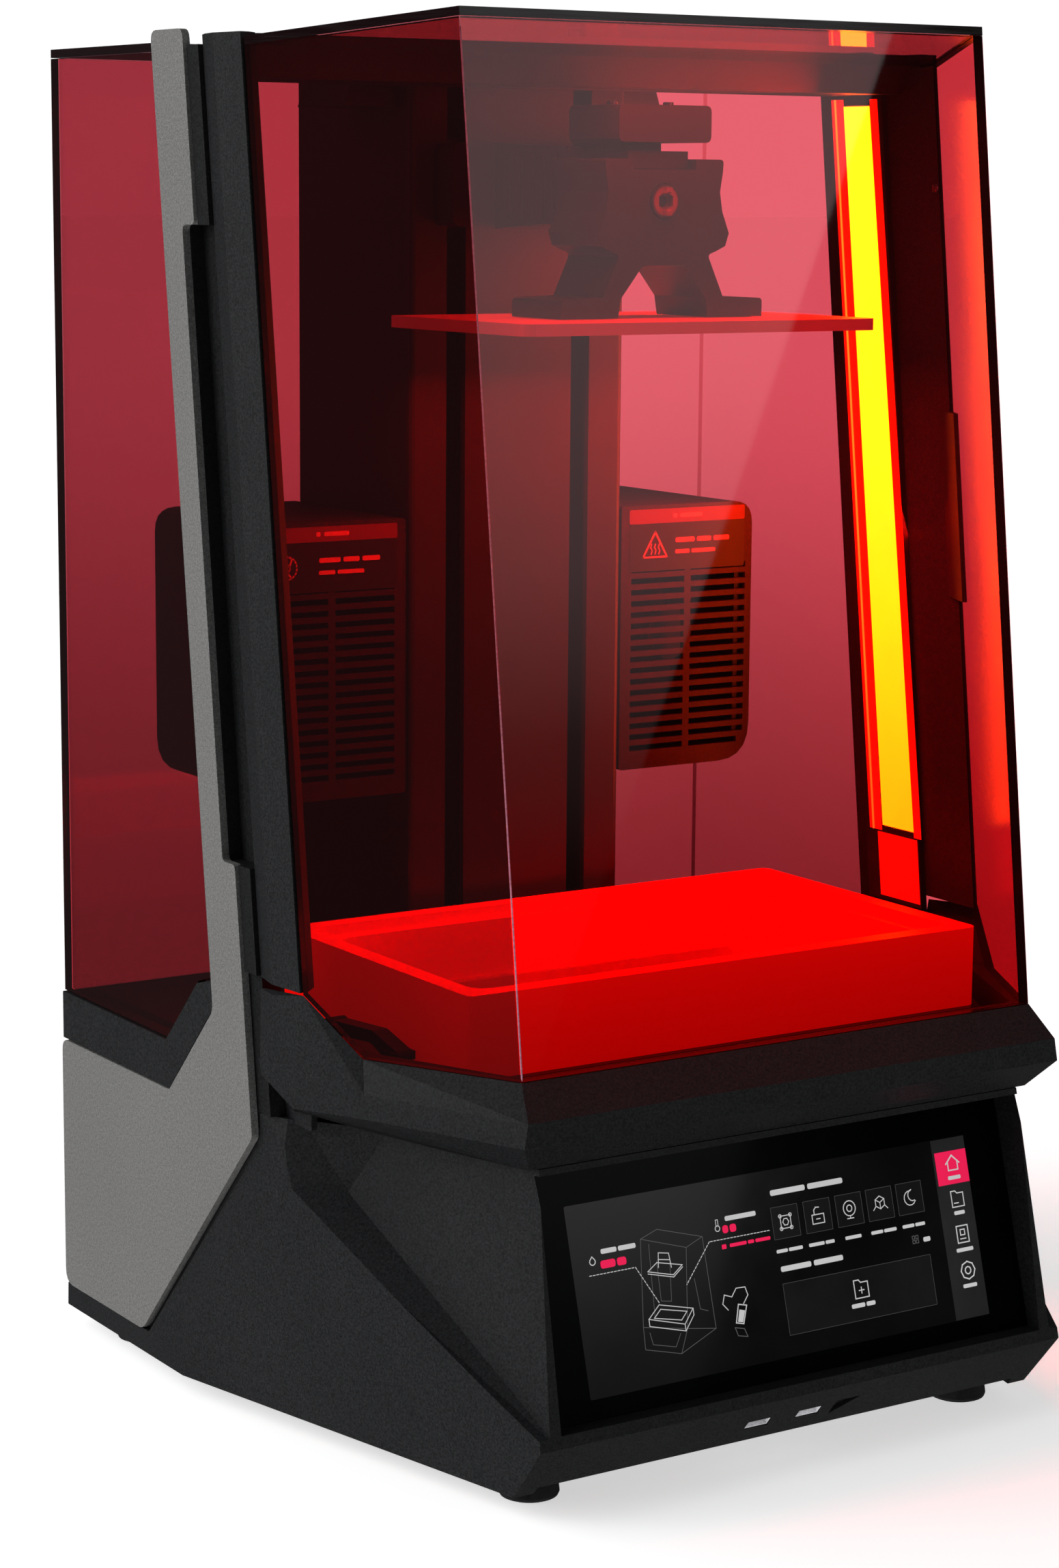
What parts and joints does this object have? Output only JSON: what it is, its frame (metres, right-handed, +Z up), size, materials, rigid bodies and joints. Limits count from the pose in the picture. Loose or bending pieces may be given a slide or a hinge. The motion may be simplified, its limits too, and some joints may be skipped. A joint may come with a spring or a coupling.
{
  "type": "resin printer",
  "caption": "Desktop resin 3D printer: faceted black casing with a leaning control panel, silver side panels, and a red acrylic hood over a vat and a build platform on a Z tower.",
  "frame": {"origin": "centre of the footprint at the level of the feet", "axes": "+X right seen from the front, +Y back, +Z up; the control panel faces -Y"},
  "size_m": [0.4, 0.3732, 0.659],
  "materials": {
    "textured_black": "fine grained black moulded plastic",
    "silver_paint": "speckled silver grey paint",
    "red_acrylic": "clear red acrylic sheet",
    "clear_film": "clear film and glass",
    "rubber_black": "soft black rubber",
    "dark_paint": "satin dark grey paint",
    "dark_anodised": "black anodised aluminium",
    "moulded_black": "satin black plastic",
    "bright_steel": "ground steel",
    "bare_aluminium": "anodised aluminium",
    "lamp_plastic": "milky light diffuser",
    "panel_glass": "gloss black cover glass",
    "circuit_green": "green circuit board"
  },
  "bodies": {
    "housing": {"base_shell": "textured_black", "base_plate": "dark_paint", "foot_front_right": "rubber_black", "foot_front_left": "rubber_black", "foot_rear_right": "rubber_black", "foot_rear_left": "rubber_black", "front_collar": "textured_black", "rear_collar": "textured_black", "deck_plate": "dark_anodised", "projection_window": "clear_film", "side_panel_right": "silver_paint", "side_panel_left": "silver_paint", "pillar_right": "textured_black", "pillar_left": "textured_black", "top_bridge": "textured_black", "hinge_pin_right": "bright_steel", "hinge_pin_left": "bright_steel", "rear_glass_right": "red_acrylic", "rear_glass_left": "red_acrylic", "rear_glass_back": "red_acrylic", "rear_glass_top": "red_acrylic", "tower_column": "dark_anodised", "linear_rail_right": "bright_steel", "linear_rail_left": "bright_steel", "upper_bearing": "bare_aluminium", "z_motor": "dark_paint", "side_box_right": "moulded_black", "side_box_left": "moulded_black", "box_grille_right": "moulded_black", "box_grille_left": "moulded_black", "light_housing": "dark_anodised", "light_diffuser": "lamp_plastic", "touch_panel": "panel_glass", "display_module": "moulded_black", "usb_socket_1": "bright_steel", "usb_socket_2": "bright_steel", "mains_inlet": "moulded_black", "projector_body": "moulded_black", "projector_lens": "panel_glass", "mainboard": "circuit_green", "power_supply": "bare_aluminium"},
    "hood": {"hood_frame": "textured_black", "hood_glass_front": "red_acrylic", "hood_glass_right": "red_acrylic", "hood_glass_left": "red_acrylic", "hood_glass_top": "red_acrylic"},
    "lift": {"carriage": "dark_anodised", "platform_arm": "dark_anodised", "platform_bracket": "dark_anodised", "build_platform": "bare_aluminium"},
    "vat": {"vat_frame": "bare_aluminium", "vat_film": "clear_film"},
    "lock_knob": {"lock_knob": "bright_steel"},
    "lead_screw": {"lead_screw": "bright_steel"},
    "power_switch": {"power_switch": "moulded_black"},
    "heater_fan": {"heater_fan": "moulded_black"},
    "filter_fan": {"filter_fan": "moulded_black"},
    "vat_clamp_right": {"vat_clamp_right": "moulded_black"},
    "vat_clamp_left": {"vat_clamp_left": "moulded_black"}
  },
  "joints": [
    {"name": "hood_hinge", "type": "hinge", "parent": "housing", "child": "hood", "pos_m": [0, 0.03002, 0.646], "axis": [-1, 0, 0], "range_deg": [0, 80]},
    {"name": "lift_slide", "type": "slide", "parent": "housing", "child": "lift", "axis": [0, 0, 1], "range_m": [-0.318, 0.008]},
    {"name": "screw_spin", "type": "hinge", "parent": "housing", "child": "lead_screw", "pos_m": [0, 0.098, 0.4], "axis": [0, 0, 1], "range_deg": [-11449, 289]},
    {"name": "lock_knob_turn", "type": "hinge", "parent": "lift", "child": "lock_knob", "pos_m": [0, -0.05, 0.577], "axis": [0, -1, 0], "range_deg": [0, 180]},
    {"name": "vat_lift", "type": "slide", "parent": "housing", "child": "vat", "axis": [0, 0, 1], "range_m": [0, 0.04]},
    {"name": "vat_clamp_right_hinge", "type": "hinge", "parent": "housing", "child": "vat_clamp_right", "pos_m": [0.155, -0.018, 0.1956], "axis": [-1, 0, 0], "range_deg": [0, 70]},
    {"name": "vat_clamp_left_hinge", "type": "hinge", "parent": "housing", "child": "vat_clamp_left", "pos_m": [-0.155, -0.018, 0.1956], "axis": [-1, 0, 0], "range_deg": [0, 70]},
    {"name": "heater_fan_spin", "type": "hinge", "parent": "housing", "child": "heater_fan", "pos_m": [0.1038, 0.0895, 0.3535], "axis": [0, -1, 0], "continuous": true},
    {"name": "filter_fan_spin", "type": "hinge", "parent": "housing", "child": "filter_fan", "pos_m": [-0.1038, 0.0895, 0.3535], "axis": [0, -1, 0], "continuous": true},
    {"name": "power_switch_rock", "type": "hinge", "parent": "housing", "child": "power_switch", "pos_m": [0.082, 0.1756, 0.062], "axis": [1, 0, 0], "range_deg": [-9, 9]}
  ],
  "couplings": [
    {"joint": "screw_spin", "follows": "lift_slide", "rad_per_m": 628.32}
  ]
}
